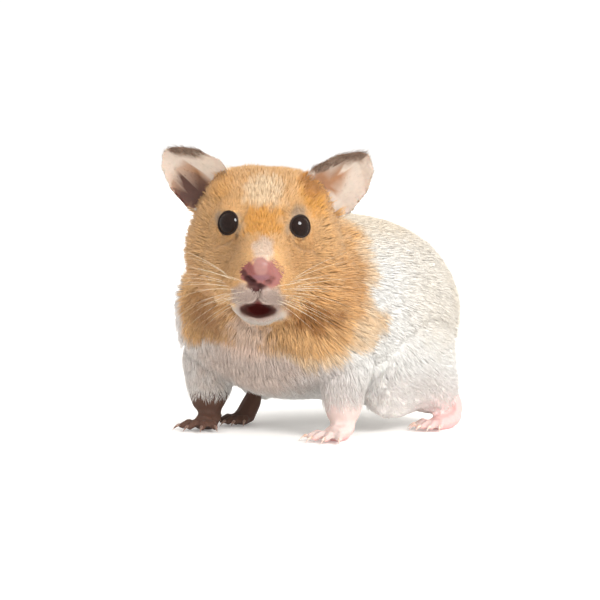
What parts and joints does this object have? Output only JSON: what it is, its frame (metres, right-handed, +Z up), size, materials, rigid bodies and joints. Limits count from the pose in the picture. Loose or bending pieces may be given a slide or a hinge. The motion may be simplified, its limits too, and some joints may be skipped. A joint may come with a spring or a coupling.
{
  "type": "golden and white syrian hamster",
  "caption": "Syrian hamster standing in mid-step with its head turned towards the viewer, as a still life-size model with golden and white fur.",
  "frame": {"origin": "on the floor, below the middle of the model's box", "axes": "+Z up, +X towards the animal's own left side, the trunk along Y with the head towards -Y"},
  "size_m": [0.0642, 0.0934, 0.0723],
  "materials": {
    "golden_fur": "matte",
    "white_fur": "matte",
    "ear_skin": "satin",
    "pink_skin": "satin",
    "nose_skin": "satin",
    "eye": "gloss",
    "claw": "satin"
  },
  "bodies": {
    "root": {"claw_forepaw_left_1": "claw", "claw_forepaw_left_2": "claw", "claw_forepaw_left_3": "claw", "claw_forepaw_left_4": "claw", "claw_forepaw_right_1": "claw", "claw_forepaw_right_2": "claw", "claw_forepaw_right_3": "claw", "claw_forepaw_right_4": "claw", "claw_hindfoot_left_1": "claw", "claw_hindfoot_left_2": "claw", "claw_hindfoot_left_3": "claw", "claw_hindfoot_left_4": "claw", "claw_hindfoot_left_5": "claw", "claw_hindfoot_right_1": "claw", "claw_hindfoot_right_2": "claw", "claw_hindfoot_right_3": "claw", "claw_hindfoot_right_4": "claw", "claw_hindfoot_right_5": "claw", "ear_left": "ear_skin", "ear_right": "ear_skin", "eye_left": "eye", "eye_right": "eye", "foreleg_left": "white_fur", "foreleg_right": "white_fur", "forepaw_left": "pink_skin", "forepaw_right": "pink_skin", "head": "golden_fur", "hindfoot_left": "pink_skin", "hindfoot_right": "pink_skin", "hindleg_left": "white_fur", "hindleg_right": "white_fur", "lower_jaw": "white_fur", "neck": "golden_fur", "nose": "nose_skin", "tail": "pink_skin", "trunk": "white_fur"}
  },
  "joints": []
}
